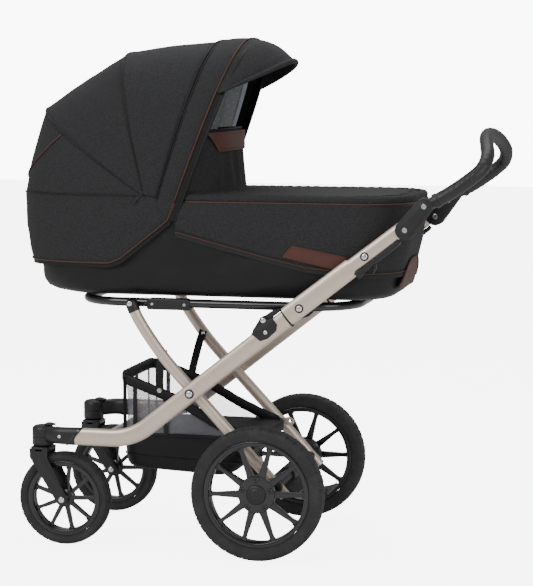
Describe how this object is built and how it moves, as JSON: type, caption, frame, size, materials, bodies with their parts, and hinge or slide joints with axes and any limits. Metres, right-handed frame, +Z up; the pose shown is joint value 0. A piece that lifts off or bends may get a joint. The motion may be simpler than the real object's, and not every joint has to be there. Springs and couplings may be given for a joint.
{
  "type": "baby stroller",
  "caption": "Folding baby pram: aluminium tube chassis with swivelling front wheels, tilting push handle, shopping basket and a lift-off carrycot with a folding hood.",
  "frame": {"origin": "on the ground under the middle of the pram's box", "axes": "+Z up, -X the direction of travel with the push handle at +X, Y across, symmetric about Y = 0; the pram's left is at -Y"},
  "size_m": [1.116, 0.523, 1.1543],
  "materials": {
    "frame_metal": "satin champagne anodised",
    "black_plastic": "fine-grained moulded",
    "rim_plastic": "satin to gloss",
    "tyre": "matte foam with shallow tread",
    "steel": "bright",
    "hood_fabric": "charcoal melange weave",
    "basket_fabric": "matte weave with mesh sides",
    "softshell": "smooth satin softshell",
    "lining": "soft grey cotton",
    "grip": "stitched black imitation leather"
  },
  "bodies": {
    "lower_frame": {"lower_tube_left": "frame_metal", "lower_tube_right": "frame_metal", "castor_housing_left": "black_plastic", "castor_housing_right": "black_plastic", "fold_bracket_left": "black_plastic", "fold_bracket_right": "black_plastic", "front_cross_tube": "frame_metal", "basket": "basket_fabric"},
    "swivel_lock_left": {"swivel_lock_left": "black_plastic"},
    "swivel_lock_right": {"swivel_lock_right": "black_plastic"},
    "castor_left": {"castor_fork_left": "black_plastic", "front_axle_left": "steel"},
    "castor_right": {"castor_fork_right": "black_plastic", "front_axle_right": "steel"},
    "front_wheel_left": {"front_tyre_left": "tyre", "front_rim_left": "rim_plastic"},
    "front_wheel_right": {"front_tyre_right": "tyre", "front_rim_right": "rim_plastic"},
    "rear_legs": {"leg_left": "frame_metal", "leg_right": "frame_metal", "leg_cap_left": "black_plastic", "leg_cap_right": "black_plastic", "axle_block_left": "black_plastic", "axle_block_right": "black_plastic", "rear_cross_tube": "frame_metal"},
    "brake_pedal": {"brake_pedal": "black_plastic"},
    "rear_wheel_left": {"rear_tyre_left": "tyre", "rear_rim_left": "rim_plastic", "rear_hub_cap_left": "black_plastic"},
    "rear_wheel_right": {"rear_tyre_right": "tyre", "rear_rim_right": "rim_plastic", "rear_hub_cap_right": "black_plastic"},
    "upper_frame": {"upper_tube_left": "frame_metal", "upper_tube_right": "frame_metal", "fold_knuckle_left": "black_plastic", "fold_knuckle_right": "black_plastic", "fold_hinge_pin_left": "steel", "fold_hinge_pin_right": "steel", "release_sleeve_left": "black_plastic", "release_sleeve_right": "black_plastic"},
    "fold_trigger_left": {"fold_trigger_left": "black_plastic"},
    "fold_trigger_right": {"fold_trigger_right": "black_plastic"},
    "handle": {"handle_housing_left": "black_plastic", "handle_housing_right": "black_plastic", "handle_bar": "black_plastic", "handle_grip": "grip"},
    "tilt_button_left": {"tilt_button_left": "black_plastic"},
    "tilt_button_right": {"tilt_button_right": "black_plastic"},
    "carrier": {"carrier_ring": "black_plastic"},
    "carrycot": {"cot_tub": "softshell", "cot_mattress": "lining", "cot_apron": "hood_fabric", "wind_flap": "hood_fabric", "hood_skirt": "hood_fabric", "hood_hub_left": "black_plastic", "hood_hub_right": "black_plastic"},
    "hood_rear": {"hood_panel_rear": "hood_fabric"},
    "hood_middle": {"hood_panel_middle": "hood_fabric"},
    "hood_front": {"hood_panel_front": "hood_fabric", "hood_visor": "hood_fabric"}
  },
  "joints": [
    {"name": "chassis_fold", "type": "hinge", "parent": "lower_frame", "child": "upper_frame", "pos_m": [0.05883, 0, 0.53407], "axis": [0, 1, 0], "range_deg": [-50, 0]},
    {"name": "leg_fold", "type": "hinge", "parent": "lower_frame", "child": "rear_legs", "pos_m": [-0.11, 0, 0.364], "axis": [0, 1, 0], "range_deg": [-12, 0]},
    {"name": "carrier_fold", "type": "hinge", "parent": "rear_legs", "child": "carrier", "pos_m": [-0.255, 0, 0.56], "axis": [0, 1, 0], "range_deg": [-1.5, 0]},
    {"name": "castor_swivel_left", "type": "hinge", "parent": "lower_frame", "child": "castor_left", "pos_m": [-0.468, -0.185, 0.2265], "axis": [0, 0, 1], "continuous": true},
    {"name": "castor_swivel_right", "type": "hinge", "parent": "lower_frame", "child": "castor_right", "pos_m": [-0.468, 0.185, 0.2265], "axis": [0, 0, 1], "continuous": true},
    {"name": "front_wheel_spin_left", "type": "hinge", "parent": "castor_left", "child": "front_wheel_left", "pos_m": [-0.415, -0.185, 0.107], "axis": [0, 1, 0], "continuous": true},
    {"name": "front_wheel_spin_right", "type": "hinge", "parent": "castor_right", "child": "front_wheel_right", "pos_m": [-0.415, 0.185, 0.107], "axis": [0, 1, 0], "continuous": true},
    {"name": "rear_wheel_spin_left", "type": "hinge", "parent": "rear_legs", "child": "rear_wheel_left", "pos_m": [0.051, -0.238, 0.15], "axis": [0, 1, 0], "continuous": true},
    {"name": "rear_wheel_spin_right", "type": "hinge", "parent": "rear_legs", "child": "rear_wheel_right", "pos_m": [0.051, 0.238, 0.15], "axis": [0, 1, 0], "continuous": true},
    {"name": "brake_press", "type": "hinge", "parent": "rear_legs", "child": "brake_pedal", "pos_m": [0.08, 0, 0.16], "axis": [0, 1, 0], "range_deg": [0, 14]},
    {"name": "swivel_lock_flip_left", "type": "hinge", "parent": "lower_frame", "child": "swivel_lock_left", "pos_m": [-0.462, -0.185, 0.2743], "axis": [0, 1, 0], "range_deg": [-20, 0]},
    {"name": "swivel_lock_flip_right", "type": "hinge", "parent": "lower_frame", "child": "swivel_lock_right", "pos_m": [-0.462, 0.185, 0.2743], "axis": [0, 1, 0], "range_deg": [-20, 0]},
    {"name": "fold_trigger_pull_left", "type": "slide", "parent": "upper_frame", "child": "fold_trigger_left", "axis": [0.7826, 0, 0.6225], "range_m": [0, 0.01], "stiffness_N_per_m": 400, "springref_m": -0.002},
    {"name": "fold_trigger_pull_right", "type": "slide", "parent": "upper_frame", "child": "fold_trigger_right", "axis": [0.7826, 0, 0.6225], "range_m": [0, 0.01], "stiffness_N_per_m": 400, "springref_m": -0.002},
    {"name": "handle_tilt", "type": "hinge", "parent": "upper_frame", "child": "handle", "pos_m": [0.37191, 0, 0.73902], "axis": [0, 1, 0], "range_deg": [-30, 25]},
    {"name": "tilt_button_press_left", "type": "slide", "parent": "handle", "child": "tilt_button_left", "axis": [0, -1, 0], "range_m": [0, 0.004], "stiffness_N_per_m": 400, "springref_m": -0.002},
    {"name": "tilt_button_press_right", "type": "slide", "parent": "handle", "child": "tilt_button_right", "axis": [0, 1, 0], "range_m": [0, 0.004], "stiffness_N_per_m": 400, "springref_m": -0.002},
    {"name": "carrycot_lift", "type": "slide", "parent": "carrier", "child": "carrycot", "axis": [0, 0, 1], "range_m": [0, 0.45]},
    {"name": "hood_rear_fold", "type": "hinge", "parent": "carrycot", "child": "hood_rear", "pos_m": [-0.175, 0, 0.756], "axis": [0, 1, 0], "range_deg": [-20, 0]},
    {"name": "hood_middle_fold", "type": "hinge", "parent": "hood_rear", "child": "hood_middle", "pos_m": [-0.175, 0, 0.756], "axis": [0, 1, 0], "range_deg": [-30, 0]},
    {"name": "hood_fold", "type": "hinge", "parent": "hood_middle", "child": "hood_front", "pos_m": [-0.175, 0, 0.756], "axis": [0, 1, 0], "range_deg": [-30, 0]}
  ],
  "couplings": [
    {"joint": "leg_fold", "follows": "chassis_fold", "ratio": 0.234},
    {"joint": "carrier_fold", "follows": "chassis_fold", "ratio": 0.0275},
    {"joint": "hood_middle_fold", "follows": "hood_fold", "ratio": 1},
    {"joint": "hood_rear_fold", "follows": "hood_fold", "ratio": 0.6666}
  ]
}
